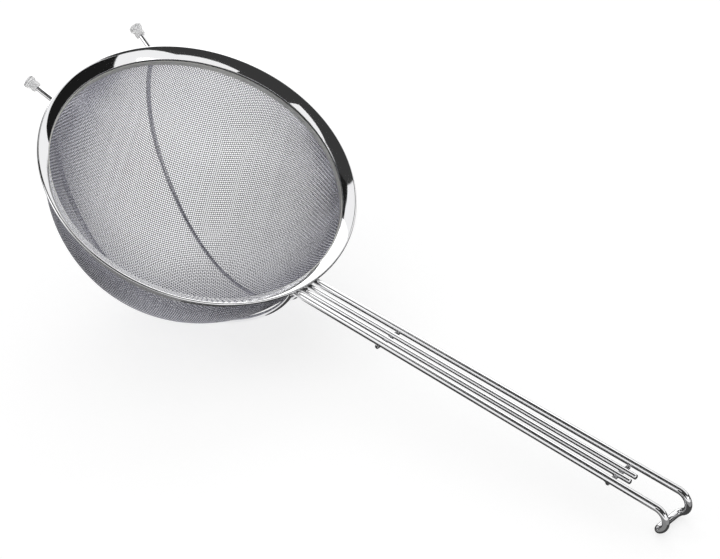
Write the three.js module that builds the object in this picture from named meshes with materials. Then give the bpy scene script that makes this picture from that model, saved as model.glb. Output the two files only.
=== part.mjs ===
// Round wire-mesh kitchen strainer. A fine mesh bowl is clamped in a folded steel rim. Two cradle wires
// run under the bowl and end as capped feet, and four wires make the long handle with its hook.
// Millimetres, +Z up. Everything is modelled with the rim level, its centre on the Z axis and the
// handle towards +X, and then laid down as the strainer rests on a table: on its bowl and its hook.
import * as THREE from "three";

// Rim: a folded sheet ring with a sloping face, an outer skirt and an inner collar
const RIM_DIAMETER = 260;
const RIM_FACE_WIDTH = 10;
const RIM_FACE_DROP = 6.7;
const RIM_SKIRT = 3;
const RIM_COLLAR = 8;
const RIM_SHEET = 0.9;
const RIM_FOLD_RADIUS = 0.9;

// Mesh bowl, and the band that clamps the edge of the mesh against the collar
const BOWL_DEPTH = 131.7;
const BOWL_FULLNESS = 1.7;
const MESH_THICKNESS = 0.8;
const CLAMP_HEIGHT = 4.6;
const CLAMP_SHEET = 1;
const CLAMP_STEP = 1;

// Grid of openings that stands for the fine weave. Its bars run askew to the handle, as the weave's wires do.
const OPENINGS_ACROSS = 12;
const OPENING_SHARE = 0.73;
const GRID_TURN = THREE.MathUtils.degToRad(45);

// Cradle wires under the bowl, with the feet at their far ends
const CRADLE_WIRE = 4;
const CRADLE_FAR_SPREAD = 105;
const CRADLE_BOW = 8;
const FOOT_BEND = 5;
const FOOT_LENGTH = 31;

// Plastic caps on the feet
const CAP_LENGTH = 10;
const CAP_MOUTH_DIAMETER = 7.6;
const CAP_TIP_DIAMETER = 10;
const CAP_TIP_THICKNESS = 3;
const CAP_EDGE_RADIUS = 0.8;

// Handle: lengths run along the handle from the outer edge of the rim
const HANDLE_RISE = THREE.MathUtils.degToRad(21.9);
const HANDLE_DROP = 6.2;
const OUTER_WIRE = 5.5;
const OUTER_ROOT_SPREAD = 21.4;
const OUTER_END_SPREAD = 26.4;
const OUTER_LENGTH = 350.5;
const INNER_WIRE = 4;
const INNER_SPREAD = 6.8;
const INNER_LENGTH = 320.2;

// Hook: the outer wire turns down and back, and then across from leg to leg
const HOOK_RADIUS = 9.4;
const HOOK_TURN = THREE.MathUtils.degToRad(145);
const HOOK_CORNER_RADIUS = 3.8;

// Cross bars under the handle wires: one near the bowl, and one close to the ends of the inner wires
const CROSS_BAR = 3.5;
const CROSS_BAR_LENGTH = 25.5;
const FRONT_BAR_AT = 84.3;
const REAR_BAR_FROM_END = 13.7;

// Clearance where welded or clamped pieces touch
const SEAT_GAP = 0.3;

// Facets
const RIM_FACETS = 96;
const OPENING_STEPS = 2;
const CRADLE_STEPS = 24;
const THICK_WIRE_SIDES = 14;
const THIN_WIRE_SIDES = 12;
const CAP_FACETS = 24;
const BEND_STEP = THREE.MathUtils.degToRad(16);
const FOLD_STEPS = 3;

// Search for the angle at which the strainer rests
const STEEPEST_REST = THREE.MathUtils.degToRad(60);
const REST_HALVINGS = 40;

// Radii and levels that the pieces share
const rimRadius = RIM_DIAMETER / 2;
const faceInnerRadius = rimRadius - RIM_FACE_WIDTH;
const faceSlope = Math.atan2(RIM_FACE_DROP, RIM_FACE_WIDTH);
const faceThickness = RIM_SHEET / Math.cos(faceSlope);
const faceTop = (radius) => -RIM_FACE_DROP * (rimRadius - radius) / RIM_FACE_WIDTH;
const faceUnderside = (radius) => faceTop(radius) - faceThickness;
const clampInnerRadius = faceInnerRadius - CLAMP_STEP;
const clampOuterRadius = clampInnerRadius + CLAMP_SHEET;
const clampTop = faceUnderside(faceInnerRadius) - SEAT_GAP;
const clampBottom = clampTop - CLAMP_HEIGHT;
const meshInnerRadius = clampOuterRadius + SEAT_GAP;
const meshOuterRadius = meshInnerRadius + MESH_THICKNESS;
const collarInnerRadius = meshOuterRadius + SEAT_GAP;
const collarOuterRadius = collarInnerRadius + RIM_SHEET;
const bowlDrop = BOWL_DEPTH + clampBottom;

const polishedSteel = new THREE.MeshStandardMaterial({ color: 0xc9cbcd, roughness: 0.12, metalness: 1 });
const satinSteel = new THREE.MeshStandardMaterial({ color: 0x9c9c96, roughness: 0.45, metalness: 1 });
const wovenSteel = new THREE.MeshStandardMaterial({ color: 0xa9abb2, roughness: 0.35, metalness: 1 });
const clearPlastic = new THREE.MeshStandardMaterial({
  color: 0xe9e9ea, roughness: 0.25, metalness: 0, transparent: true, opacity: 0.6,
});

function namedMesh(name, geometry, material) {
  const mesh = new THREE.Mesh(geometry, material);
  mesh.name = name;
  return mesh;
}

// A path whose steps are the given points: few along a straight, many round a bend
class WirePath extends THREE.Curve {
  constructor(points) {
    super();
    this.points = points;
    this.last = points.length - 1;
  }

  getPoint(t) {
    return this.points[Math.round(t * this.last)].clone();
  }

  getTangent(t) {
    const at = Math.round(t * this.last);
    const before = this.points[Math.max(at - 1, 0)];
    const after = this.points[Math.min(at + 1, this.last)];
    return after.clone().sub(before).normalize();
  }

  getUtoTmapping(u) {
    return u;
  }
}

function roundWire(points, diameter, sides) {
  const section = new THREE.Shape();
  section.absarc(0, 0, diameter / 2, 0, 2 * Math.PI);
  const extrudePath = new WirePath(points);
  const curveSegments = sides / 2;
  return new THREE.ExtrudeGeometry(section, { steps: extrudePath.last, curveSegments, extrudePath });
}

// Points along straights that are joined by round bends, one radius for each inner corner
function bentPoints(corners, radii) {
  const points = [corners[0]];
  radii.forEach((radius, index) => {
    const corner = corners[index + 1];
    const back = corners[index].clone().sub(corner).normalize();
    const ahead = corners[index + 2].clone().sub(corner).normalize();
    const turn = Math.PI - back.angleTo(ahead);
    const tangentLength = radius * Math.tan(turn / 2);
    const start = corner.clone().addScaledVector(back, tangentLength);
    const inward = ahead.clone().addScaledVector(back, -ahead.dot(back)).normalize();
    const centre = start.clone().addScaledVector(inward, radius);
    const steps = Math.max(2, Math.ceil(turn / BEND_STEP));
    for (let step = 0; step <= steps; step += 1) {
      const angle = turn * step / steps;
      const point = centre.clone();
      point.addScaledVector(inward, -radius * Math.cos(angle));
      point.addScaledVector(back, -radius * Math.sin(angle));
      points.push(point);
    }
  });
  points.push(corners[corners.length - 1]);
  return points;
}

// A ring or cup turned about Z from a profile of radius and height
function turned(profile, facets) {
  const points = profile.map(([radius, height]) => new THREE.Vector2(radius, height));
  return new THREE.LatheGeometry(points, facets).rotateX(Math.PI / 2);
}

function rimRing() {
  const fold = [];
  for (let step = 0; step <= FOLD_STEPS; step += 1) {
    const angle = (Math.PI / 2 + faceSlope) * step / FOLD_STEPS;
    const radius = rimRadius - RIM_FOLD_RADIUS * (1 - Math.cos(angle));
    fold.push([radius, -RIM_FOLD_RADIUS * (1 - Math.sin(angle))]);
  }
  const skirtInnerRadius = rimRadius - RIM_SHEET;
  const collarBottom = faceUnderside(collarInnerRadius) - RIM_COLLAR;
  const profile = [
    [rimRadius, -RIM_SKIRT],
    ...fold,
    [faceInnerRadius, faceTop(faceInnerRadius)],
    [faceInnerRadius, faceUnderside(faceInnerRadius)],
    [collarInnerRadius, faceUnderside(collarInnerRadius)],
    [collarInnerRadius, collarBottom],
    [collarOuterRadius, collarBottom],
    [collarOuterRadius, faceUnderside(collarOuterRadius)],
    [skirtInnerRadius, faceUnderside(skirtInnerRadius)],
    [skirtInnerRadius, -RIM_SKIRT],
    [rimRadius, -RIM_SKIRT],
  ];
  return namedMesh("rim_ring", turned(profile, RIM_FACETS), polishedSteel);
}

function meshClampBand() {
  const profile = [
    [clampOuterRadius, clampBottom],
    [clampOuterRadius, clampTop],
    [clampInnerRadius, clampTop],
    [clampInnerRadius, clampBottom],
    [clampOuterRadius, clampBottom],
  ];
  return namedMesh("mesh_clamp_band", turned(profile, RIM_FACETS), satinSteel);
}

// Lines of the grid from -1 to 1: the edge of the bowl, and then the steps across each opening
function gridLines() {
  const lines = [{ at: -1, opens: false }];
  for (let opening = 0; opening < OPENINGS_ACROSS; opening += 1) {
    for (let step = 0; step <= OPENING_STEPS; step += 1) {
      const middle = 2 * (opening + 0.5) / OPENINGS_ACROSS - 1;
      const off = OPENING_SHARE * (2 * step / OPENING_STEPS - 1) / OPENINGS_ACROSS;
      lines.push({ at: middle + off, opens: step < OPENING_STEPS });
    }
  }
  lines.push({ at: 1, opens: false });
  return lines;
}

// A place on the bowl's wall. The square grid is drawn in at its corners until its edge is a circle, and
// runs from the bottom of the bowl up to the clamp band in a curve a little leaner than half an ellipse.
function onWall(u, v, radius, drop) {
  const x = u * Math.sqrt(1 - v ** 2 / 2);
  const y = v * Math.sqrt(1 - u ** 2 / 2);
  const climb = Math.PI / 2 * Math.min(Math.hypot(x, y), 1);
  const out = radius * Math.sin(climb) ** (2 / BOWL_FULLNESS);
  const down = drop * Math.max(Math.cos(climb), 0) ** (2 / BOWL_FULLNESS);
  const turn = Math.atan2(y, x) + GRID_TURN;
  return new THREE.Vector3(out * Math.cos(turn), out * Math.sin(turn), clampBottom - down);
}

function wallPoints(radius, drop) {
  const lines = gridLines();
  return lines.flatMap(({ at: v }) => lines.map(({ at: u }) => onWall(u, v, radius, drop)));
}

// What the grid has in a cell: a piece of the wall, an opening, or nothing, past the edge of the bowl
function gridCell(lines, column, row) {
  const last = lines.length - 2;
  if (Math.min(column, row) < 0 || Math.max(column, row) > last) {
    return "nothing";
  }
  return lines[column].opens && lines[row].opens ? "opening" : "wall";
}

// One closed body: an outer and an inner wall, openings through both, and a straight edge for the clamp
function meshBowl() {
  const edgeTop = faceUnderside(meshInnerRadius) - SEAT_GAP;
  const lines = gridLines();
  const count = lines.length;
  const outer = wallPoints(meshOuterRadius, bowlDrop);
  const inner = wallPoints(meshInnerRadius, bowlDrop - MESH_THICKNESS);
  const edge = [...outer, ...inner].map((point) => point.clone().setZ(edgeTop));
  const toInner = outer.length;
  const toEdge = 2 * toInner;
  const besides = [[0, -1], [1, 0], [0, 1], [-1, 0]];
  const faces = [];
  const addFace = (a, b, c, d) => faces.push(a, b, c, a, c, d);

  const addCell = (column, row) => {
    const at = row * count + column;
    const corners = [at, at + 1, at + count + 1, at + count];
    const towardsCorner = (column < count / 2 - 1) === (row < count / 2 - 1) ? 0 : 1;
    const [a, b, c, d] = corners.map((_, index) => corners[(index + towardsCorner) % 4]);
    addFace(a, d, c, b);
    addFace(toInner + a, toInner + b, toInner + c, toInner + d);
    besides.forEach(([right, up], side) => {
      const from = corners[side];
      const to = corners[(side + 1) % 4];
      const beside = gridCell(lines, column + right, row + up);
      if (beside === "opening") {
        addFace(from, to, toInner + to, toInner + from);
      } else if (beside === "nothing") {
        addFace(from, to, toEdge + to, toEdge + from);
        addFace(toEdge + from, toEdge + to, toEdge + toInner + to, toEdge + toInner + from);
        addFace(toInner + to, toInner + from, toEdge + toInner + from, toEdge + toInner + to);
      }
    });
  };

  for (let row = 0; row < count - 1; row += 1) {
    for (let column = 0; column < count - 1; column += 1) {
      if (gridCell(lines, column, row) === "wall") {
        addCell(column, row);
      }
    }
  }
  const geometry = new THREE.BufferGeometry().setFromPoints([...outer, ...inner, ...edge]);
  return namedMesh("mesh_bowl", geometry.setIndex(faces).toNonIndexed(), wovenSteel);
}

// The ends of a cradle wire, seen from above: under the handle's outer wire, and out at the foot.
// side is 1 or -1.
function cradleLine(side) {
  const reach = collarOuterRadius + SEAT_GAP + CRADLE_WIRE / 2;
  const nearY = side * OUTER_ROOT_SPREAD / 2;
  const farY = side * CRADLE_FAR_SPREAD / 2;
  const near = new THREE.Vector3(Math.sqrt(reach ** 2 - nearY ** 2), nearY, clampBottom);
  const far = new THREE.Vector3(-Math.sqrt(reach ** 2 - farY ** 2), farY, clampBottom);
  const footLevel = -(RIM_SKIRT + SEAT_GAP + CRADLE_WIRE / 2);
  const outward = far.clone().sub(near).normalize();
  const tip = far.clone().addScaledVector(outward, FOOT_LENGTH).setZ(footLevel);
  return { reach, near, far, outward, tip };
}

// A cradle wire follows the bowl from end to end and bows outwards on the way
function cradlePoints(side) {
  const { reach, near, far, outward, tip } = cradleLine(side);
  const drop = bowlDrop + SEAT_GAP + CRADLE_WIRE / 2;
  const points = [];
  for (let step = 0; step <= CRADLE_STEPS; step += 1) {
    const angle = Math.PI * step / CRADLE_STEPS;
    const point = near.clone().lerp(far, (1 - Math.cos(angle)) / 2);
    point.y += side * CRADLE_BOW * Math.sin(angle) ** 3;
    const out = Math.min(Math.hypot(point.x, point.y) / reach, 1);
    point.z -= drop * (1 - out ** BOWL_FULLNESS) ** (1 / BOWL_FULLNESS);
    points.push(point);
  }
  points[0].z = outerWireUnderside(near.x - CRADLE_WIRE / 2) - SEAT_GAP;
  const wireEnd = tip.clone().addScaledVector(outward, -CAP_TIP_THICKNESS - SEAT_GAP);
  const foot = bentPoints([far, far.clone().setZ(tip.z), wireEnd], [FOOT_BEND]);
  return [...points, ...foot.slice(1)];
}

function footCap(name, side) {
  const { outward, tip } = cradleLine(side);
  const bore = CRADLE_WIRE / 2 + SEAT_GAP;
  const tipRadius = CAP_TIP_DIAMETER / 2;
  const tipBack = CAP_LENGTH - CAP_TIP_THICKNESS;
  const profile = [
    [0, tipBack],
    [bore, tipBack],
    [bore, 0],
    [CAP_MOUTH_DIAMETER / 2, 0],
    [CAP_MOUTH_DIAMETER / 2 + CAP_EDGE_RADIUS / 2, tipBack - CAP_EDGE_RADIUS],
    [tipRadius, tipBack],
    [tipRadius, CAP_LENGTH - CAP_EDGE_RADIUS],
    [tipRadius - CAP_EDGE_RADIUS, CAP_LENGTH],
    [0, CAP_LENGTH],
  ];
  const cap = namedMesh(name, turned(profile, CAP_FACETS), clearPlastic);
  cap.quaternion.setFromUnitVectors(new THREE.Vector3(0, 0, 1), outward);
  cap.position.copy(tip).addScaledVector(outward, -CAP_LENGTH);
  return cap;
}

// A place on the handle: along it from the rim's edge, across it, and above the plane of the outer wires
function onHandle(along, across, above) {
  return new THREE.Vector3(
    rimRadius + along * Math.cos(HANDLE_RISE) - above * Math.sin(HANDLE_RISE),
    across,
    -HANDLE_DROP + along * Math.sin(HANDLE_RISE) + above * Math.cos(HANDLE_RISE),
  );
}

function outerWireUnderside(x) {
  const axis = -HANDLE_DROP + (x - rimRadius) * Math.tan(HANDLE_RISE);
  return axis - OUTER_WIRE / 2 / Math.cos(HANDLE_RISE);
}

// Each handle wire passes under the rim and ends against the collar
function handleRoot(across, above, diameter) {
  const collarX = Math.sqrt(collarOuterRadius ** 2 - across ** 2);
  const rootX = collarX + SEAT_GAP + diameter / 2 * Math.sin(HANDLE_RISE);
  const along = (rootX - rimRadius + above * Math.sin(HANDLE_RISE)) / Math.cos(HANDLE_RISE);
  return onHandle(along, across, above);
}

function handleOuterPoints() {
  const spreadAt = (along) => {
    return THREE.MathUtils.mapLinear(along, 0, OUTER_LENGTH, OUTER_ROOT_SPREAD, OUTER_END_SPREAD) / 2;
  };
  const hookTangent = HOOK_RADIUS * Math.tan(HOOK_TURN / 2);
  const hookAlong = OUTER_LENGTH + hookTangent;
  const returnLength = hookTangent + HOOK_CORNER_RADIUS;
  const backAlong = hookAlong + returnLength * Math.cos(HOOK_TURN);
  const backAbove = -returnLength * Math.sin(HOOK_TURN);
  const leg = (side) => [
    handleRoot(side * spreadAt(0), 0, OUTER_WIRE),
    onHandle(hookAlong, side * spreadAt(OUTER_LENGTH), 0),
    onHandle(backAlong, side * spreadAt(OUTER_LENGTH), backAbove),
  ];
  const radii = [HOOK_RADIUS, HOOK_CORNER_RADIUS];
  return bentPoints([...leg(1), ...leg(-1).reverse()], [...radii, ...radii.toReversed()]);
}

// The inner wires lie on the cross bars, as the outer ones do
function handleInnerWire(name, side) {
  const across = side * INNER_SPREAD / 2;
  const above = -(OUTER_WIRE - INNER_WIRE) / 2;
  const points = [handleRoot(across, above, INNER_WIRE), onHandle(INNER_LENGTH, across, above)];
  return namedMesh(name, roundWire(points, INNER_WIRE, THIN_WIRE_SIDES), polishedSteel);
}

function crossBar(name, along) {
  const bar = new THREE.CylinderGeometry(CROSS_BAR / 2, CROSS_BAR / 2, CROSS_BAR_LENGTH, THIN_WIRE_SIDES);
  const mesh = namedMesh(name, bar, polishedSteel);
  mesh.position.copy(onHandle(along, 0, -(OUTER_WIRE / 2 + SEAT_GAP + CROSS_BAR / 2)));
  return mesh;
}

// How far the strainer tips towards its handle before the hook is as low as the bowl and its cradle
function restTilt(cradle, handle) {
  const bowl = wallPoints(meshOuterRadius, bowlDrop);
  const lowest = (points, tilt) => {
    return Math.min(...points.map((point) => point.z * Math.cos(tilt) - point.x * Math.sin(tilt)));
  };
  let low = 0;
  let high = STEEPEST_REST;
  for (let halving = 0; halving < REST_HALVINGS; halving += 1) {
    const tilt = (low + high) / 2;
    const hookHeight = lowest(handle, tilt) - OUTER_WIRE / 2;
    const cradleHeight = lowest(cradle, tilt) - CRADLE_WIRE / 2;
    if (hookHeight > Math.min(cradleHeight, lowest(bowl, tilt))) {
      low = tilt;
    } else {
      high = tilt;
    }
  }
  return (low + high) / 2;
}

const rightCradle = cradlePoints(1);
const leftCradle = cradlePoints(-1);
const outerHandle = handleOuterPoints();

const bowlAssembly = new THREE.Group();
bowlAssembly.add(
  rimRing(),
  meshClampBand(),
  meshBowl(),
  namedMesh("cradle_wire_right", roundWire(rightCradle, CRADLE_WIRE, THIN_WIRE_SIDES), polishedSteel),
  namedMesh("cradle_wire_left", roundWire(leftCradle, CRADLE_WIRE, THIN_WIRE_SIDES), polishedSteel),
  footCap("foot_cap_right", 1),
  footCap("foot_cap_left", -1),
);

const handleAssembly = new THREE.Group();
handleAssembly.add(
  namedMesh("handle_outer_wire", roundWire(outerHandle, OUTER_WIRE, THICK_WIRE_SIDES), polishedSteel),
  handleInnerWire("handle_inner_wire_right", 1),
  handleInnerWire("handle_inner_wire_left", -1),
  crossBar("handle_cross_bar_front", FRONT_BAR_AT),
  crossBar("handle_cross_bar_rear", INNER_LENGTH - REAR_BAR_FROM_END),
);

// Laid down to rest, with the origin under the middle of the whole strainer
const resting = new THREE.Group();
resting.add(bowlAssembly, handleAssembly);
resting.rotation.y = restTilt(rightCradle, outerHandle);
resting.updateMatrixWorld(true);
const extent = new THREE.Box3().setFromObject(resting, true);
const middle = extent.getCenter(new THREE.Vector3());
resting.position.set(-middle.x, -middle.y, -extent.min.z);

const strainer = new THREE.Group();
strainer.add(resting);

export default strainer;
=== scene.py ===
"""Looks of a long-handled wire-mesh strainer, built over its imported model.

Pieces are drawn in millimetres with the rim level, its centre at the origin and the handle
towards +X. They are then laid down, in metres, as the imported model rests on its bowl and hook.
"""

import math

import bpy
import numpy as np
from mathutils import Matrix, Vector


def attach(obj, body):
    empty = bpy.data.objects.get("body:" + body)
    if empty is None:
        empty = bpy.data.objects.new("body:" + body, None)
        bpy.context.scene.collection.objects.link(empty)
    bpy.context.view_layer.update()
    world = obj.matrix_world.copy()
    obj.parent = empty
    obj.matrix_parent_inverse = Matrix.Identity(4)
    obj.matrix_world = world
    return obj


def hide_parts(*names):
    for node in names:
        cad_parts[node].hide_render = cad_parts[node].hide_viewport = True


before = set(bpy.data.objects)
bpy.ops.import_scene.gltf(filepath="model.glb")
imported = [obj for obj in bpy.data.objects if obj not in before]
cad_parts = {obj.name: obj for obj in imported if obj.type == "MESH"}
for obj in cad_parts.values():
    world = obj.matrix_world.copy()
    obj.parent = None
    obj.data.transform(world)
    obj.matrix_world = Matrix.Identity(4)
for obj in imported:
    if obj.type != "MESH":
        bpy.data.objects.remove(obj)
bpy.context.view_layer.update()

# How the strainer lies: turned about Y by this angle, with the rim's centre here, in metres
REST_TILT = 0.4876268253
RIM_CENTRE = (-0.1701257144, 0.0, 0.1254162551)
LAID_DOWN = (
    Matrix.Translation(RIM_CENTRE)
    @ Matrix.Rotation(REST_TILT, 4, "Y")
    @ Matrix.Scale(0.001, 4)
)

# Rim, in millimetres
RIM_RADIUS = 130.0
FACE_INNER_RADIUS = 120.0
FACE_DROP = 6.7
FACE_CROWN = 0.36
CROWN_SHARES = (0.24, 0.36, 0.5, 0.64, 0.76, 0.88)
FACE_THICKNESS = 1.083
SKIRT = 3.0
SHEET = 0.9
COLLAR_INNER_RADIUS = 121.4
COLLAR_OUTER_RADIUS = 122.3
COLLAR_BOTTOM = -14.85
OUTER_EDGE_ROUNDING = 1.2
INNER_EDGE_ROUNDING = 0.45
UNDER_EDGE_ROUNDING = 0.4
FOLD_ROUNDING = 0.8
CUT_ROUNDING = 0.3
RIM_FACETS = 256

# Band that clamps the mesh
BAND_INNER_RADIUS = 119.0
BAND_OUTER_RADIUS = 120.0
BAND_TOP = -8.083
BAND_BOTTOM = -12.683

# Woven bowl: the middle of the cloth, and its wires, which stay on one side for a share of the pitch
CLOTH_RADIUS = 120.7
CLOTH_DROP = 118.617
CLOTH_FULLNESS = 1.7
CLOTH_EDGE = BAND_BOTTOM
CLOTH_TOP = -8.6
MESH_PITCH = 1.74
MESH_WIRE = 0.60
MESH_TURN = math.radians(40)
MESH_STEPS = 112
MESH_SIDES = 6
MESH_PIECES = 6
CROSSING_SHARE = 0.26

# Cradle wires and feet
CRADLE_WIRE = 4.0
CRADLE_REACH = 124.6
CRADLE_DROP = 121.317
CRADLE_NEAR = 10.7
CRADLE_FAR = 52.5
CRADLE_BOW = 8.0
CRADLE_STEPS = 96
FOOT_LEVEL = -5.3
FOOT_LENGTH = 31.0
FOOT_BEND = 5.0

# Foot caps
CAP_LENGTH = 10.0
CAP_TIP_THICKNESS = 3.0
CAP_TIP_RADIUS = 5.0
CAP_MOUTH_RADIUS = 3.8
CAP_BORE_RADIUS = 2.1
CAP_SWELL = 0.4
CAP_FLARE_START = 1.2
CAP_FLARE_END = 0.2
CAP_FACETS = 48

# Handle
HANDLE_RISE = math.radians(21.9)
HANDLE_DROP = 6.2
OUTER_WIRE = 5.5
OUTER_ROOT = 10.7
OUTER_END = 13.2
OUTER_LENGTH = 350.5
INNER_WIRE = 4.0
INNER_ACROSS = 3.4
INNER_LENGTH = 320.2
HOOK_RADIUS = 9.4
HOOK_TURN = math.radians(145)
HOOK_CORNER = 3.8
CROSS_BAR = 3.5
CROSS_BAR_LENGTH = 25.5
CROSS_BARS_AT = {"front": 84.3, "rear": 306.5}
SEAT_GAP = 0.3

# Weld beads: length and thickness as shares of the wire's diameter, or in millimetres on the collar
ROOT_BEAD = (1.3, 0.55)
ROOT_BEAD_DROP = 0.3
CRADLE_BEAD = (1.7, 0.6)
CROSS_BAR_BEAD = (1.6, 0.6)
COLLAR_BEAD = (4.4, 2.4)
COLLAR_BEAD_RISE = 1.2
BEAD_TIP = 0.08
BEAD_STEPS = 17


# Materials


def socket(group, name, direction, kind, value=None):
    made = group.interface.new_socket(name=name, in_out=direction, socket_type=kind)
    if value is not None:
        made.default_value = value
    return made


def link(tree, source, target):
    tree.links.new(source, target)


def polish_group():
    """Soft unevenness of a polished or drawn steel surface: its gloss and its finest ripple."""
    group = bpy.data.node_groups.new("steel_polish", "ShaderNodeTree")
    socket(group, "Patch size", "INPUT", "NodeSocketFloat", 0.02)
    socket(group, "Smoothest", "INPUT", "NodeSocketFloat", 0.05)
    socket(group, "Roughest", "INPUT", "NodeSocketFloat", 0.12)
    socket(group, "Roughness", "OUTPUT", "NodeSocketFloat")
    socket(group, "Ripple", "OUTPUT", "NodeSocketFloat")
    nodes = group.nodes
    sizes = nodes.new("NodeGroupInput")
    result = nodes.new("NodeGroupOutput")
    place = nodes.new("ShaderNodeTexCoord")
    grain = nodes.new("ShaderNodeMath")
    grain.operation = "DIVIDE"
    grain.inputs[0].default_value = 1.0
    link(group, sizes.outputs["Patch size"], grain.inputs[1])
    patches = nodes.new("ShaderNodeTexNoise")
    patches.inputs["Detail"].default_value = 4.0
    link(group, place.outputs["Object"], patches.inputs["Vector"])
    link(group, grain.outputs[0], patches.inputs["Scale"])
    gloss = nodes.new("ShaderNodeMapRange")
    gloss.inputs["From Min"].default_value = 0.3
    gloss.inputs["From Max"].default_value = 0.7
    link(group, patches.outputs["Fac"], gloss.inputs["Value"])
    link(group, sizes.outputs["Smoothest"], gloss.inputs["To Min"])
    link(group, sizes.outputs["Roughest"], gloss.inputs["To Max"])
    link(group, gloss.outputs["Result"], result.inputs["Roughness"])
    ripple = nodes.new("ShaderNodeTexNoise")
    ripple.inputs["Scale"].default_value = 900.0
    ripple.inputs["Detail"].default_value = 2.0
    link(group, place.outputs["Object"], ripple.inputs["Vector"])
    link(group, ripple.outputs["Fac"], result.inputs["Ripple"])
    return group


def steel(name, polish, colour, patch_size, smoothest, roughest, ripple):
    material = bpy.data.materials.new(name)
    material.use_nodes = True
    tree = material.node_tree
    shader = tree.nodes["Principled BSDF"]
    shader.inputs["Base Color"].default_value = (*colour, 1.0)
    shader.inputs["Metallic"].default_value = 1.0
    finish = tree.nodes.new("ShaderNodeGroup")
    finish.node_tree = polish
    finish.inputs["Patch size"].default_value = patch_size
    finish.inputs["Smoothest"].default_value = smoothest
    finish.inputs["Roughest"].default_value = roughest
    link(tree, finish.outputs["Roughness"], shader.inputs["Roughness"])
    bump = tree.nodes.new("ShaderNodeBump")
    bump.inputs["Strength"].default_value = ripple
    bump.inputs["Distance"].default_value = 0.0001
    link(tree, finish.outputs["Ripple"], bump.inputs["Height"])
    link(tree, bump.outputs["Normal"], shader.inputs["Normal"])
    return material


def satin_steel(polish):
    """Steel with fine lines that run round the band, laid out on the band's own UV map."""
    material = steel("satin_steel", polish, (0.78, 0.78, 0.74), 0.01, 0.38, 0.5, 0.1)
    tree = material.node_tree
    shader = tree.nodes["Principled BSDF"]
    lay = tree.nodes.new("ShaderNodeTexCoord")
    stretch = tree.nodes.new("ShaderNodeMapping")
    stretch.inputs["Scale"].default_value = (14.0, 900.0, 1.0)
    lines = tree.nodes.new("ShaderNodeTexNoise")
    lines.inputs["Scale"].default_value = 1.0
    lines.inputs["Detail"].default_value = 3.0
    link(tree, lay.outputs["UV"], stretch.inputs["Vector"])
    link(tree, stretch.outputs["Vector"], lines.inputs["Vector"])
    tint = tree.nodes.new("ShaderNodeMapRange")
    tint.data_type = "FLOAT_VECTOR"
    tint.inputs[7].default_value = (0.3, 0.3, 0.3)
    tint.inputs[8].default_value = (0.7, 0.7, 0.7)
    tint.inputs[9].default_value = (0.70, 0.70, 0.66)
    tint.inputs[10].default_value = (0.86, 0.86, 0.82)
    link(tree, lines.outputs["Color"], tint.inputs[6])
    link(tree, tint.outputs[1], shader.inputs["Base Color"])
    return material


def clear_cap_plastic():
    material = bpy.data.materials.new("clear_cap")
    material.use_nodes = True
    tree = material.node_tree
    shader = tree.nodes["Principled BSDF"]
    shader.inputs["Base Color"].default_value = (0.99, 0.99, 0.99, 1.0)
    shader.inputs["IOR"].default_value = 1.46
    shader.inputs["Transmission Weight"].default_value = 0.86
    place = tree.nodes.new("ShaderNodeTexCoord")
    frost = tree.nodes.new("ShaderNodeTexNoise")
    frost.inputs["Scale"].default_value = 500.0
    frost.inputs["Detail"].default_value = 3.0
    haze = tree.nodes.new("ShaderNodeMapRange")
    haze.inputs["To Min"].default_value = 0.25
    haze.inputs["To Max"].default_value = 0.4
    link(tree, place.outputs["Object"], frost.inputs["Vector"])
    link(tree, frost.outputs["Fac"], haze.inputs["Value"])
    link(tree, haze.outputs["Result"], shader.inputs["Roughness"])
    flutes = tree.nodes.new("ShaderNodeTexWave")
    flutes.inputs["Scale"].default_value = 7.0
    flutes.inputs["Distortion"].default_value = 0.4
    link(tree, place.outputs["UV"], flutes.inputs["Vector"])
    ribs = tree.nodes.new("ShaderNodeBump")
    ribs.inputs["Strength"].default_value = 0.5
    ribs.inputs["Distance"].default_value = 0.0004
    link(tree, flutes.outputs["Fac"], ribs.inputs["Height"])
    link(tree, ribs.outputs["Normal"], shader.inputs["Normal"])
    return material


# Shapes


def laid_down(points):
    """Points in millimetres with the rim level, as they lie in metres."""
    turn = np.array(LAID_DOWN)
    return np.asarray(points, float) @ turn[:3, :3].T + turn[:3, 3]


def piece_of(name, mesh, node):
    piece = bpy.data.objects.new(name, mesh)
    bpy.context.scene.collection.objects.link(piece)
    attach(piece, "root")
    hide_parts(node)
    return piece


# The short straight on each side of a rounding, in millimetres, which keeps the flats flat
LEAD = 0.04


def rounded(corners, steps=6):
    """A closed outline of (radius, height, rounding) corners with each corner rounded off."""
    outline = []
    count = len(corners)
    for index, (radius, height, rounding) in enumerate(corners):
        corner = np.array((radius, height))
        back = np.array(corners[index - 1][:2]) - corner
        ahead = np.array(corners[(index + 1) % count][:2]) - corner
        back /= np.linalg.norm(back)
        ahead /= np.linalg.norm(ahead)
        turn = math.pi - math.acos(max(-1.0, min(1.0, float(back @ ahead))))
        if rounding <= 0 or turn < 1e-6:
            outline.append(corner)
            continue
        start = corner + back * rounding * math.tan(turn / 2)
        inward = ahead - back * float(ahead @ back)
        inward /= np.linalg.norm(inward)
        centre = start + inward * rounding
        outline.append(start + back * LEAD)
        for step in range(steps + 1):
            angle = turn * step / steps
            around = inward * math.cos(angle) + back * math.sin(angle)
            outline.append(centre - around * rounding)
        outline.append(outline[-1] + ahead * LEAD)
    return np.array(outline)


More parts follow.
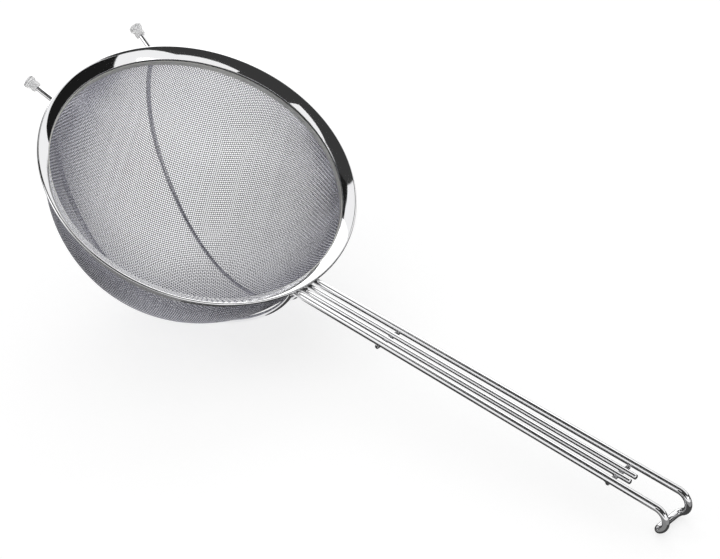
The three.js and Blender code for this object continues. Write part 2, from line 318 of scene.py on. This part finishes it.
def turned_mesh(name, outline, facets, material):
    """A mesh turned about Z from an outline of radius and height, with its own UV map."""
    steps = len(outline)
    angles = np.arange(facets) * 2 * math.pi / facets
    ring = np.stack([np.cos(angles), np.sin(angles)], 1)
    points = np.concatenate(
        [
            np.repeat(outline[:, 0], facets)[:, None] * np.tile(ring, (steps, 1)),
            np.repeat(outline[:, 1], facets)[:, None],
        ],
        axis=1,
    )
    faces = []
    layout = []
    length = np.concatenate([[0], np.cumsum(np.linalg.norm(np.diff(outline, axis=0), axis=1))])
    for step in range(steps):
        after = (step + 1) % steps
        low = length[step]
        high = length[after] if after else length[-1]
        for facet in range(facets):
            beside = (facet + 1) % facets
            here = step * facets
            there = after * facets
            faces.append((here + facet, here + beside, there + beside, there + facet))
            left = facet / facets
            right = (facet + 1) / facets
            layout.extend([(left, low), (right, low), (right, high), (left, high)])
    mesh = bpy.data.meshes.new(name)
    mesh.from_pydata(points.tolist(), [], faces)
    unwrap = mesh.uv_layers.new(name="UVMap")
    unwrap.data.foreach_set("uv", np.array(layout, np.float32).ravel())
    mesh.materials.append(material)
    mesh.shade_smooth()
    return mesh


def lay(mesh, sharpest=math.radians(50)):
    """Puts a mesh that was drawn with the rim level where it lies, faces out."""
    mesh.transform(LAID_DOWN)
    mesh.set_sharp_from_angle(angle=sharpest)
    mesh.update()
    return mesh


def bent(corners, radii, step=math.radians(5)):
    """Points along straights that are joined by round bends."""
    corners = [np.asarray(corner, float) for corner in corners]
    points = [corners[0]]
    for index, radius in enumerate(radii):
        corner = corners[index + 1]
        back = corners[index] - corner
        ahead = corners[index + 2] - corner
        back /= np.linalg.norm(back)
        ahead /= np.linalg.norm(ahead)
        turn = math.pi - math.acos(float(back @ ahead))
        start = corner + back * radius * math.tan(turn / 2)
        inward = ahead - back * float(ahead @ back)
        inward /= np.linalg.norm(inward)
        centre = start + inward * radius
        count = max(3, math.ceil(turn / step))
        for number in range(count + 1):
            angle = turn * number / count
            around = inward * math.cos(angle) + back * math.sin(angle)
            points.append(centre - around * radius)
    points.append(corners[-1])
    return np.array(points)


def wire_tree():
    """Round wire along lines of points. The girth attribute thins it at cut ends and weld beads,
    and the crown attribute says to which side the crimp raises it."""
    tree = bpy.data.node_groups.new("round_wire", "GeometryNodeTree")
    socket(tree, "Line", "INPUT", "NodeSocketGeometry")
    socket(tree, "Wire diameter", "INPUT", "NodeSocketFloat", 0.004)
    socket(tree, "Sides", "INPUT", "NodeSocketInt", 24)
    socket(tree, "Crimp", "INPUT", "NodeSocketFloat", 0.0)
    socket(tree, "Steel", "INPUT", "NodeSocketMaterial")
    socket(tree, "Wire", "OUTPUT", "NodeSocketGeometry")
    nodes = tree.nodes
    sizes = nodes.new("NodeGroupInput")
    result = nodes.new("NodeGroupOutput")
    wall = nodes.new("GeometryNodeInputNamedAttribute")
    wall.data_type = "FLOAT_VECTOR"
    wall.inputs["Name"].default_value = "crown"
    raised = nodes.new("ShaderNodeVectorMath")
    raised.operation = "SCALE"
    link(tree, wall.outputs["Attribute"], raised.inputs[0])
    link(tree, sizes.outputs["Crimp"], raised.inputs["Scale"])
    crimped = nodes.new("GeometryNodeSetPosition")
    link(tree, sizes.outputs["Line"], crimped.inputs["Geometry"])
    link(tree, raised.outputs["Vector"], crimped.inputs["Offset"])
    path = nodes.new("GeometryNodeMeshToCurve")
    link(tree, crimped.outputs["Geometry"], path.inputs["Mesh"])
    half = nodes.new("ShaderNodeMath")
    half.operation = "MULTIPLY"
    half.inputs[1].default_value = 0.5
    link(tree, sizes.outputs["Wire diameter"], half.inputs[0])
    section = nodes.new("GeometryNodeCurvePrimitiveCircle")
    link(tree, sizes.outputs["Sides"], section.inputs["Resolution"])
    link(tree, half.outputs[0], section.inputs["Radius"])
    girth = nodes.new("GeometryNodeInputNamedAttribute")
    girth.data_type = "FLOAT"
    girth.inputs["Name"].default_value = "girth"
    drawn = nodes.new("GeometryNodeCurveToMesh")
    drawn.inputs["Fill Caps"].default_value = True
    link(tree, path.outputs["Curve"], drawn.inputs["Curve"])
    link(tree, section.outputs["Curve"], drawn.inputs["Profile Curve"])
    link(tree, girth.outputs["Attribute"], drawn.inputs["Scale"])
    smooth = nodes.new("GeometryNodeSetShadeSmooth")
    link(tree, drawn.outputs["Mesh"], smooth.inputs["Geometry"])
    real = nodes.new("GeometryNodeRealizeInstances")
    link(tree, smooth.outputs["Geometry"], real.inputs["Geometry"])
    finish = nodes.new("GeometryNodeSetMaterial")
    link(tree, real.outputs["Geometry"], finish.inputs["Geometry"])
    link(tree, sizes.outputs["Steel"], finish.inputs["Material"])
    link(tree, finish.outputs["Geometry"], result.inputs["Wire"])
    return tree


def wires_along(
    name, tree, lines, diameter, sides, material, crowns=None, crimp=0.0, girths=None, sharpest=30
):
    """A plain mesh of round wires, one along each line of points. Sizes are in millimetres."""
    points = laid_down(np.concatenate(lines))
    edges = []
    first = 0
    for line in lines:
        edges.extend((first + at, first + at + 1) for at in range(len(line) - 1))
        first += len(line)
    base = bpy.data.meshes.new(name + "_lines")
    base.from_pydata(points.tolist(), edges, [])
    if girths is None:
        girths = np.ones(len(points))
    girth = base.attributes.new("girth", "FLOAT", "POINT")
    girth.data.foreach_set("value", np.asarray(girths, np.float32))
    if crowns is None:
        crowns = np.zeros((len(points), 3))
    raised = np.asarray(crowns, float) @ np.array(LAID_DOWN.to_3x3().normalized()).T
    crown = base.attributes.new("crown", "FLOAT_VECTOR", "POINT")
    crown.data.foreach_set("vector", raised.astype(np.float32).ravel())
    carrier = bpy.data.objects.new(name + "_lines", base)
    bpy.context.scene.collection.objects.link(carrier)
    modifier = carrier.modifiers.new("round_wire", "NODES")
    modifier.node_group = tree
    values = {
        "Wire diameter": diameter * 0.001,
        "Sides": sides,
        "Crimp": crimp * 0.001,
        "Steel": material,
    }
    for item in tree.interface.items_tree:
        if item.in_out == "INPUT" and item.name in values:
            modifier[item.identifier] = values[item.name]
    bpy.context.view_layer.update()
    evaluated = carrier.evaluated_get(bpy.context.evaluated_depsgraph_get())
    mesh = bpy.data.meshes.new_from_object(evaluated)
    mesh.name = name
    bpy.data.objects.remove(carrier)
    bpy.data.meshes.remove(base)
    for attribute in ("girth", "crown"):
        if attribute in mesh.attributes:
            mesh.attributes.remove(mesh.attributes[attribute])
    mesh.set_sharp_from_angle(angle=math.radians(sharpest))
    return mesh


def cut_ends(line, diameter, bevel=0.35):
    """The same line with its two ends a little thinner, as a cut and deburred wire has them."""
    start = line[0] + (line[1] - line[0]) / np.linalg.norm(line[1] - line[0]) * bevel
    end = line[-1] + (line[-2] - line[-1]) / np.linalg.norm(line[-2] - line[-1]) * bevel
    points = np.concatenate([[line[0], start], line[1:-1], [end, line[-1]]])
    girths = np.ones(len(points))
    girths[[0, -1]] = 1 - 2 * bevel / diameter
    return points, girths


# Rim and clamp band


def face_top(radius):
    return -FACE_DROP * (RIM_RADIUS - radius) / (RIM_RADIUS - FACE_INNER_RADIUS)


def face_under(radius):
    return face_top(radius) - FACE_THICKNESS


def rim_outline():
    """The folded sheet: skirt, gently crowned face, inner edge and collar."""
    skirt_inside = RIM_RADIUS - SHEET
    crowned = []
    for share in CROWN_SHARES:
        radius = RIM_RADIUS - share * (RIM_RADIUS - FACE_INNER_RADIUS)
        crowned.append((radius, face_top(radius) + FACE_CROWN * 4 * share * (1 - share), 0.0))
    return rounded(
        [
            (RIM_RADIUS, -SKIRT, CUT_ROUNDING),
            (RIM_RADIUS, 0.0, OUTER_EDGE_ROUNDING),
            *crowned,
            (FACE_INNER_RADIUS, -FACE_DROP, INNER_EDGE_ROUNDING),
            (FACE_INNER_RADIUS, face_under(FACE_INNER_RADIUS), UNDER_EDGE_ROUNDING),
            (COLLAR_INNER_RADIUS, face_under(COLLAR_INNER_RADIUS), CUT_ROUNDING),
            (COLLAR_INNER_RADIUS, COLLAR_BOTTOM, CUT_ROUNDING),
            (COLLAR_OUTER_RADIUS, COLLAR_BOTTOM, CUT_ROUNDING),
            (COLLAR_OUTER_RADIUS, face_under(COLLAR_OUTER_RADIUS), FOLD_ROUNDING),
            (skirt_inside, face_under(skirt_inside), UNDER_EDGE_ROUNDING),
            (skirt_inside, -SKIRT, CUT_ROUNDING),
        ]
    )


def band_outline():
    return rounded(
        [
            (BAND_OUTER_RADIUS, BAND_BOTTOM, CUT_ROUNDING),
            (BAND_OUTER_RADIUS, BAND_TOP, CUT_ROUNDING),
            (BAND_INNER_RADIUS, BAND_TOP, CUT_ROUNDING),
            (BAND_INNER_RADIUS, BAND_BOTTOM, CUT_ROUNDING),
        ],
        steps=4,
    )


# Woven bowl


def cloth_level(points):
    """How far points lie outside the middle of the cloth, as a share of its size."""
    out = np.hypot(points[..., 0], points[..., 1]) / CLOTH_RADIUS
    down = np.maximum((CLOTH_EDGE - points[..., 2]) / CLOTH_DROP, 0)
    return out**CLOTH_FULLNESS + down**CLOTH_FULLNESS - 1


def cloth_slope(points):
    """The direction in which cloth_level grows."""
    out = np.maximum(np.hypot(points[..., 0], points[..., 1]), 1e-6)
    down = np.maximum((CLOTH_EDGE - points[..., 2]) / CLOTH_DROP, 0)
    sideways = CLOTH_FULLNESS * (out / CLOTH_RADIUS) ** (CLOTH_FULLNESS - 1) / CLOTH_RADIUS / out
    upward = -CLOTH_FULLNESS * down ** (CLOTH_FULLNESS - 1) / CLOTH_DROP
    return np.stack([sideways * points[..., 0], sideways * points[..., 1], upward], -1)


def middle_wire():
    """Crossings along a wire that runs through the bottom of the bowl, as radius and height."""
    angles = np.linspace(0, math.pi / 2, 8001)
    wall = np.stack(
        [
            CLOTH_RADIUS * np.sin(angles) ** (2 / CLOTH_FULLNESS),
            CLOTH_EDGE - CLOTH_DROP * np.maximum(np.cos(angles), 0) ** (2 / CLOTH_FULLNESS),
        ],
        1,
    )
    wall = np.vstack([wall, [CLOTH_RADIUS, CLOTH_EDGE + 80]])
    run = np.concatenate([[0], np.cumsum(np.linalg.norm(np.diff(wall, axis=0), axis=1))])
    at = np.arange(MESH_STEPS) * MESH_PITCH
    return np.interp(at, run, wall[:, 0]), np.interp(at, run, wall[:, 1])


def quarter_of_crossings():
    """Where the wires cross in a quarter of the bowl. Square cloth pressed into a bowl shears,
    because the wires don't stretch: each crossing lies one pitch from its two neighbours."""
    radius, height = middle_wire()
    cross = np.zeros((MESH_STEPS, MESH_STEPS, 3))
    cross[:, 0] = np.stack([radius, 0 * radius, height], 1)
    cross[0, :] = np.stack([0 * radius, radius, height], 1)
    for diagonal in range(2, 2 * MESH_STEPS - 1):
        row = np.arange(max(1, diagonal - MESH_STEPS + 1), min(MESH_STEPS, diagonal))
        column = diagonal - row
        one = cross[row - 1, column]
        other = cross[row, column - 1]
        found = one + other - cross[row - 1, column - 1]
        for _ in range(6):
            misses = np.stack(
                [
                    ((found - one) ** 2).sum(1) - MESH_PITCH**2,
                    ((found - other) ** 2).sum(1) - MESH_PITCH**2,
                    cloth_level(found) * CLOTH_RADIUS,
                ],
                1,
            )
            slopes = np.stack(
                [2 * (found - one), 2 * (found - other), cloth_slope(found) * CLOTH_RADIUS],
                1,
            )
            step = np.linalg.solve(slopes + 1e-9 * np.eye(3), misses[..., None])[..., 0]
            size = np.linalg.norm(step, axis=1, keepdims=True)
            found = found - step * np.minimum(1, MESH_PITCH / np.maximum(size, 1e-9))
        cross[row, column] = found
    return cross


def all_crossings():
    quarter = quarter_of_crossings()
    last = MESH_STEPS - 1
    whole = np.zeros((2 * last + 1, 2 * last + 1, 3))
    rows, columns = np.meshgrid(np.arange(MESH_STEPS), np.arange(MESH_STEPS), indexing="ij")
    quarters = ((rows, columns), (-columns, rows), (-rows, -columns), (columns, -rows))
    for turn, (row, column) in enumerate(quarters):
        angle = MESH_TURN + turn * math.pi / 2
        x = quarter[..., 0] * math.cos(angle) - quarter[..., 1] * math.sin(angle)
        y = quarter[..., 0] * math.sin(angle) + quarter[..., 1] * math.cos(angle)
        whole[row + last, column + last] = np.stack([x, y, quarter[..., 2]], -1)
    return whole


def woven_lines(crossings, first_side):
    """Each wire of one direction: its points, and to which side of the cloth each one is raised."""
    lines = []
    crowns = []
    for number, wire in enumerate(crossings):
        inside = np.flatnonzero(wire[:, 2] < CLOTH_TOP)
        if len(inside) < 4:
            continue
        for run in np.split(inside, np.flatnonzero(np.diff(inside) > 1) + 1):
            if len(run) < 4:
                continue
            at = wire[run]
            side = first_side * (1 - 2 * ((number + run) % 2))
            before = at[1:] + CROSSING_SHARE * (at[:-1] - at[1:])
            after = at[:-1] + CROSSING_SHARE * (at[1:] - at[:-1])
            line = np.zeros((2 * len(run) - 2, 3))
            line[0::2] = after
            line[1::2] = before
            raised = np.zeros(len(line))
            raised[0::2] = side[:-1]
            raised[1::2] = side[1:]
            out = cloth_slope(line)
            out /= np.linalg.norm(out, axis=1, keepdims=True)
            lines.append(line)
            crowns.append(out * raised[:, None])
    return lines, crowns


# Cradle wires, feet and caps


def cradle_line(side):
    """Points of a cradle wire from the handle to its foot, with the foot's tip and direction."""
    near = np.array([math.sqrt(CRADLE_REACH**2 - CRADLE_NEAR**2), side * CRADLE_NEAR])
    far = np.array([-math.sqrt(CRADLE_REACH**2 - CRADLE_FAR**2), side * CRADLE_FAR])
    angles = np.linspace(0, math.pi, CRADLE_STEPS + 1)
    plan = near + (far - near) * ((1 - np.cos(angles)) / 2)[:, None]
    plan[:, 1] += side * CRADLE_BOW * np.sin(angles) ** 3
    out = np.minimum(np.hypot(plan[:, 0], plan[:, 1]) / CRADLE_REACH, 1)
    level = BAND_BOTTOM - CRADLE_DROP * (1 - out**CLOTH_FULLNESS) ** (1 / CLOTH_FULLNESS)
    points = np.column_stack([plan, level])
    axis = (near[0] - CRADLE_WIRE / 2 - RIM_RADIUS) * math.tan(HANDLE_RISE) - HANDLE_DROP
    points[0, 2] = axis - OUTER_WIRE / 2 / math.cos(HANDLE_RISE) - SEAT_GAP
    outward = np.append((far - near) / np.linalg.norm(far - near), 0)
    tip = np.append(far, FOOT_LEVEL) + outward * FOOT_LENGTH
    foot = bent(
        [points[-1], np.append(far, FOOT_LEVEL), tip - outward * (CAP_TIP_THICKNESS + SEAT_GAP)],
        [FOOT_BEND],
    )
    return np.concatenate([points, foot[1:]]), tip, outward


def cap_mesh(name, tip, outward, material):
    """A soft cap that flares to a thicker round end, with a blind bore for the wire."""
    back = CAP_LENGTH - CAP_TIP_THICKNESS
    outline = rounded(
        [
            (0.001, back, 0.0),
            (CAP_BORE_RADIUS, back, 0.25),
            (CAP_BORE_RADIUS, 0.0, 0.3),
            (CAP_MOUTH_RADIUS, 0.0, 0.5),
            (CAP_MOUTH_RADIUS + CAP_SWELL, back - CAP_FLARE_START, 1.2),
            (CAP_TIP_RADIUS, back - CAP_FLARE_END, 0.8),
            (CAP_TIP_RADIUS, CAP_LENGTH, 0.9),
            (0.001, CAP_LENGTH, 0.0),
        ]
    )
    mesh = turned_mesh(name, outline, CAP_FACETS, material)
    stand = Vector((0, 0, 1)).rotation_difference(Vector(outward)).to_matrix().to_4x4()
    mesh.transform(Matrix.Translation(Vector(tip - outward * CAP_LENGTH)) @ stand)
    return lay(mesh)


# Handle

HANDLE_WAY = np.array([math.cos(HANDLE_RISE), 0, math.sin(HANDLE_RISE)])


def on_handle(along, across, above):
    """A place on the handle: along it from the rim, across it and above the outer wires."""
    return np.array(
        [
            RIM_RADIUS + along * math.cos(HANDLE_RISE) - above * math.sin(HANDLE_RISE),
            across,
            -HANDLE_DROP + along * math.sin(HANDLE_RISE) + above * math.cos(HANDLE_RISE),
        ]
    )


def handle_root(across, above, diameter):
    """Where the middle of a handle wire ends, at the collar."""
    collar = math.sqrt(COLLAR_OUTER_RADIUS**2 - across**2)
    root = collar + SEAT_GAP + diameter / 2 * math.sin(HANDLE_RISE)
    along = (root - RIM_RADIUS + above * math.sin(HANDLE_RISE)) / math.cos(HANDLE_RISE)
    return on_handle(along, across, above)


def outer_line():
    tangent = HOOK_RADIUS * math.tan(HOOK_TURN / 2)
    turn_at = OUTER_LENGTH + tangent
    back = tangent + HOOK_CORNER
    along = turn_at + back * math.cos(HOOK_TURN)
    above = -back * math.sin(HOOK_TURN)
    corners = [
        handle_root(OUTER_ROOT, 0, OUTER_WIRE),
        on_handle(turn_at, OUTER_END, 0),
        on_handle(along, OUTER_END, above),
        on_handle(along, -OUTER_END, above),
        on_handle(turn_at, -OUTER_END, 0),
        handle_root(-OUTER_ROOT, 0, OUTER_WIRE),
    ]
    return bent(corners, [HOOK_RADIUS, HOOK_CORNER, HOOK_CORNER, HOOK_RADIUS])


def inner_line(side):
    above = -(OUTER_WIRE - INNER_WIRE) / 2
    across = side * INNER_ACROSS
    root = handle_root(across, above, INNER_WIRE)
    return np.array([root, on_handle(INNER_LENGTH, across, above)])


def cross_bar_line(along):
    above = -(OUTER_WIRE / 2 + SEAT_GAP + CROSS_BAR / 2)
    return np.array([on_handle(along, side * CROSS_BAR_LENGTH / 2, above) for side in (1, -1)])


# Wires with their weld beads


def add_wire(name, line, diameter, sides, node, beads):
    """A wire with its weld beads, each a small spindle about a place, along a direction."""
    points, girths = cut_ends(line, diameter)
    lines = [points]
    thickness = [girths]
    along = np.sin(np.linspace(-math.pi / 2, math.pi / 2, BEAD_STEPS))
    for place, way, length, thick in beads:
        lines.append(place + np.outer(along * length / 2, way))
        thickness.append(np.maximum(np.sqrt(1 - along**2), BEAD_TIP) * thick / diameter)
    girths = np.concatenate(thickness)
    mesh = wires_along(name, WIRE_TREE, lines, diameter, sides, POLISHED, girths=girths)
    piece_of(name, mesh, node)


def root_bead(across, above, diameter):
    """Weld of a handle wire to the collar, under the wire."""
    place = handle_root(across, above - diameter * ROOT_BEAD_DROP, diameter)
    length, thick = ROOT_BEAD
    return place, np.array([0, 1, 0]), diameter * length, diameter * thick


def cradle_beads(line, side):
    """Welds of a cradle wire to the outer handle wire and to the collar."""
    at_handle = line[0] + np.array([0, 0, SEAT_GAP / 2])
    far = math.sqrt(CRADLE_REACH**2 - CRADLE_FAR**2)
    outward = np.array([-far, side * CRADLE_FAR, 0]) / CRADLE_REACH
    level = np.array([0, 0, BAND_BOTTOM + COLLAR_BEAD_RISE])
    at_collar = outward * (COLLAR_OUTER_RADIUS + SEAT_GAP / 2) + level
    length, thick = CRADLE_BEAD
    return [
        (at_handle, HANDLE_WAY, CRADLE_WIRE * length, CRADLE_WIRE * thick),
        (at_collar, np.array([0, 0, 1]), *COLLAR_BEAD),
    ]


def cross_bar_beads(along):
    """Welds of a cross bar to the four handle wires above it."""
    spread = OUTER_ROOT + (OUTER_END - OUTER_ROOT) * along / OUTER_LENGTH
    above = -(OUTER_WIRE + SEAT_GAP) / 2
    length, thick = CROSS_BAR_BEAD
    beads = []
    for across in (-spread, -INNER_ACROSS, INNER_ACROSS, spread):
        place = on_handle(along, across, above)
        beads.append((place, HANDLE_WAY, CROSS_BAR * length, CROSS_BAR * thick))
    return beads


# The object

polish = polish_group()
POLISHED = steel("polished_steel", polish, (0.86, 0.86, 0.87), 0.03, 0.02, 0.06, 0.02)
SATIN = satin_steel(polish)
# The warp and the weft are one steel. The weft's far darker colour is painted shade, which gives the
# crossings of the two sets the bright and dark checker that the lighting gives the real cloth.
WARP = steel("woven_mesh_warp", polish, (0.78, 0.78, 0.84), 0.03, 0.08, 0.14, 0.0)
WEFT_SHADED = steel("woven_mesh_weft_shaded", polish, (0.36, 0.36, 0.40), 0.03, 0.08, 0.14, 0.0)
CLEAR = clear_cap_plastic()
WIRE_TREE = wire_tree()

rim = lay(turned_mesh("rim", rim_outline(), RIM_FACETS, POLISHED), math.radians(60))
piece_of("rim", rim, "rim_ring")
band = lay(turned_mesh("clamp_band", band_outline(), RIM_FACETS, SATIN))
piece_of("clamp_band", band, "mesh_clamp_band")

crossings = all_crossings()
weave = (("warp", crossings, 1, WARP), ("weft", crossings.transpose(1, 0, 2), -1, WEFT_SHADED))
for direction, grid, first_side, finish in weave:
    lines, crowns = woven_lines(grid, first_side)
    shares = np.array_split(np.arange(len(lines)), MESH_PIECES)
    for number, share in enumerate(shares, 1):
        name = f"mesh_{direction}_{number}"
        mesh = wires_along(
            name,
            WIRE_TREE,
            [lines[at] for at in share],
            MESH_WIRE,
            MESH_SIDES,
            finish,
            np.concatenate([crowns[at] for at in share]),
            MESH_WIRE / 2,
            sharpest=180,
        )
        piece_of(name, mesh, "mesh_bowl")

for label, side in (("right", 1), ("left", -1)):
    line, tip, outward = cradle_line(side)
    beads = cradle_beads(line, side)
    add_wire(f"cradle_{label}", line, CRADLE_WIRE, 24, f"cradle_wire_{label}", beads)
    cap = cap_mesh(f"cap_{label}", tip, outward, CLEAR)
    piece_of(f"cap_{label}", cap, f"foot_cap_{label}")
    beads = [root_bead(side * INNER_ACROSS, -(OUTER_WIRE - INNER_WIRE) / 2, INNER_WIRE)]
    line = inner_line(side)
    add_wire(f"handle_inner_{label}", line, INNER_WIRE, 32, f"handle_inner_wire_{label}", beads)
beads = [root_bead(side * OUTER_ROOT, 0, OUTER_WIRE) for side in (1, -1)]
add_wire("handle_outer", outer_line(), OUTER_WIRE, 40, "handle_outer_wire", beads)
for label, along in CROSS_BARS_AT.items():
    line = cross_bar_line(along)
    beads = cross_bar_beads(along)
    add_wire(f"cross_bar_{label}", line, CROSS_BAR, 24, f"handle_cross_bar_{label}", beads)


# Studio

AIM = Vector((0, 0, 0.06))
CARD_DISTANCE = 20.0
FLOOR_LEVEL = -0.0005
FLOOR_REACH = 9.0
MAT_LEVEL = -0.0003


def backdrop_rays(tree):
    """1 for rays that meet the white background: from the camera, and off or through the object."""
    rays = tree.nodes.new("ShaderNodeLightPath")
    either = tree.nodes.new("ShaderNodeMath")
    either.operation = "MAXIMUM"
    link(tree, rays.outputs["Is Camera Ray"], either.inputs[0])
    link(tree, rays.outputs["Is Glossy Ray"], either.inputs[1])
    any_of = tree.nodes.new("ShaderNodeMath")
    any_of.operation = "MAXIMUM"
    link(tree, either.outputs[0], any_of.inputs[0])
    link(tree, rays.outputs["Is Transmission Ray"], any_of.inputs[1])
    return any_of.outputs[0]


def white_world():
    world = bpy.data.worlds.new("white_studio")
    bpy.context.scene.world = world
    world.use_nodes = True
    tree = world.node_tree
    soft = tree.nodes["Background"]
    soft.inputs["Color"].default_value = (1, 1, 1, 1)
    soft.inputs["Strength"].default_value = 0.6
    white = tree.nodes.new("ShaderNodeBackground")
    white.inputs["Color"].default_value = (1, 1, 1, 1)
    white.inputs["Strength"].default_value = 1.0
    choice = tree.nodes.new("ShaderNodeMixShader")
    link(tree, backdrop_rays(tree), choice.inputs[0])
    link(tree, soft.outputs[0], choice.inputs[1])
    link(tree, white.outputs[0], choice.inputs[2])
    link(tree, choice.outputs[0], tree.nodes["World Output"].inputs["Surface"])


def staged(name, corners, faces, material):
    mesh = bpy.data.meshes.new(name)
    mesh.from_pydata([tuple(corner) for corner in corners], [], faces)
    mesh.materials.append(material)
    panel = bpy.data.objects.new(name, mesh)
    bpy.context.scene.collection.objects.link(panel)
    return panel


def white_floor():
    material = bpy.data.materials.new("studio_floor")
    material.use_nodes = True
    tree = material.node_tree
    shader = tree.nodes["Principled BSDF"]
    shader.inputs["Base Color"].default_value = (0.45, 0.45, 0.45, 1)
    shader.inputs["Roughness"].default_value = 0.9
    shader.inputs["Specular IOR Level"].default_value = 0.0
    shader.inputs["Emission Color"].default_value = (1, 1, 1, 1)
    glow = tree.nodes.new("ShaderNodeMath")
    glow.operation = "MULTIPLY"
    glow.inputs[1].default_value = 0.7
    link(tree, backdrop_rays(tree), glow.inputs[0])
    link(tree, glow.outputs[0], shader.inputs["Emission Strength"])
    corners = []
    for x, y in ((-1, -1), (1, -1), (1, 1), (-1, 1)):
        corners.append((x * FLOOR_REACH, y * FLOOR_REACH, FLOOR_LEVEL))
    staged("floor", corners, [(0, 1, 2, 3)], material)


def toward(azimuth, elevation, distance):
    """A point that far from the middle. Azimuth 0 lies towards -Y and 90 towards +X, in degrees."""
    a = math.radians(azimuth)
    e = math.radians(elevation)
    way = Vector((math.sin(a) * math.cos(e), -math.cos(a) * math.cos(e), math.sin(e)))
    return AIM + way * distance


def dark_card(name, corners, faces, shade):
    """A dark studio card that only reflections show."""
    material = bpy.data.materials.new(name)
    material.use_nodes = True
    tree = material.node_tree
    tree.nodes.remove(tree.nodes["Principled BSDF"])
    glow = tree.nodes.new("ShaderNodeEmission")
    glow.inputs["Color"].default_value = (shade, shade, shade, 1)
    link(tree, glow.outputs[0], tree.nodes["Material Output"].inputs["Surface"])
    card = staged(name, corners, faces, material)
    card.visible_camera = False
    card.visible_diffuse = False
    card.visible_shadow = False
    card.visible_transmission = False


def far_card(name, outline, shade):
    """A card far off. Its outline gives azimuths with its lower and upper edges, in degrees."""
    corners = []
    for azimuth, low, high in outline:
        corners.extend([toward(azimuth, low, CARD_DISTANCE), toward(azimuth, high, CARD_DISTANCE)])
    faces = [(at, at + 2, at + 3, at + 1) for at in range(0, len(corners) - 2, 2)]
    dark_card(name, corners, faces, shade)


def reflected_floor_shade(name, x_range, y_range, shade):
    """A dark card that lies on the floor and only reflections show: painted shade of the floor
    around the strainer, as its metal mirrors it.
    """
    corners = [(x, y, MAT_LEVEL) for x in x_range for y in y_range]
    dark_card(name, corners, [(0, 2, 3, 1)], shade)


def softbox(name, azimuth, elevation, distance, size, power):
    lamp = bpy.data.lights.new(name, "AREA")
    lamp.shape = "RECTANGLE"
    lamp.size = size[0]
    lamp.size_y = size[1]
    lamp.energy = power
    holder = bpy.data.objects.new(name, lamp)
    holder.location = toward(azimuth, elevation, distance)
    facing = AIM - holder.location
    holder.rotation_mode = "QUATERNION"
    holder.rotation_quaternion = facing.to_track_quat("-Z", "Y")
    bpy.context.scene.collection.objects.link(holder)


def photo_camera():
    """A camera that was fitted to the rim, the handle and the feet in the photo."""
    camera = bpy.data.cameras.new("camera")
    camera.lens = 125.0
    camera.sensor_width = 36.0
    camera.sensor_fit = "HORIZONTAL"
    camera.clip_start = 0.05
    camera.clip_end = 60.0
    holder = bpy.data.objects.new("camera", camera)
    right = Vector((0.73151953, 0.6796591, -0.05424648))
    up = Vector((-0.33488804, 0.42746263, 0.83971763))
    back = Vector((0.59391007, -0.59610335, 0.54030697))
    turn = Matrix((right, up, back)).transposed().to_4x4()
    holder.matrix_world = Matrix.Translation((1.12381385, -1.12821314, 1.11247225)) @ turn
    bpy.context.scene.collection.objects.link(holder)
    bpy.context.scene.camera = holder


white_world()
white_floor()
photo_camera()
softbox("back_light", -130, 30, 2.4, (2.2, 1.6), 12)
softbox("left_light", -43, 30, 2.4, (0.6, 1.6), 3.2)
softbox("right_light", 92, 20, 2.4, (1.2, 0.4), 1.6)
far_card(
    "ceiling",
    [
        (-180, 62, 90), (-140, 58, 90), (-120, 60, 90), (-100, 67, 90), (-88, 70, 90),
        (-78, 60, 90), (-60, 57, 90), (-27, 60, 90), (18, 59, 90), (22, 18, 90),
        (54, 18, 90), (55, 40, 90), (88, 29, 90), (105, 31, 90), (117, 27, 90),
        (126, 27, 90), (132, 36, 90), (145, 50, 90), (180, 62, 90),
    ],
    0.045,
)
far_card(
    "right_card",
    [
        (117, 0, 27), (138, 0, 24), (148, 0, 20), (157, 0, 16), (166, 0, 10),
        (172, 0, 4), (175, 0, 1),
    ],
    0.012,
)
far_card("camera_side", [(-19, 8, 48), (0, 8, 48), (22, 8, 48), (54, 8, 48)], 0.03)
# Painted shade: dark cards on the floor, seen only in reflections, darken the floor under and around
# the strainer as its metal mirrors it.
reflected_floor_shade("handle_mat", (-0.1, 0.26), (-0.12, 0.1), 0.06)
reflected_floor_shade("bend_mat", (0.26, 0.32), (-0.02, 0.1), 0.06)
reflected_floor_shade("ball_mat", (0.26, 0.32), (-0.12, -0.02), 0.25)
reflected_floor_shade("bowl_mat", (-0.24, -0.02), (0.1, 0.28), 0.06)
reflected_floor_shade("front_mat", (-0.45, 0.05), (-0.45, -0.12), 0.2)
reflected_floor_shade("edge_mat", (-0.02, 0.45), (0.1, 0.45), 0.03)
reflected_floor_shade("feet_mat", (-0.8, -0.4), (-0.3, 0.25), 0.3)
reflected_floor_shade("hook_mat", (0.32, 0.5), (-0.12, 0.1), 0.3)
far_card(
    "left_gap",
    [
        (-104, 0, 42), (-92, 0, 50), (-78, 0, 60), (-62, 0, 58), (-60, 20, 58),
        (-45, 34, 58), (-36, 38, 58), (-26, 41, 58), (-22, 45, 58),
    ],
    0.012,
)

bpy.context.scene.view_settings.view_transform = "Standard"
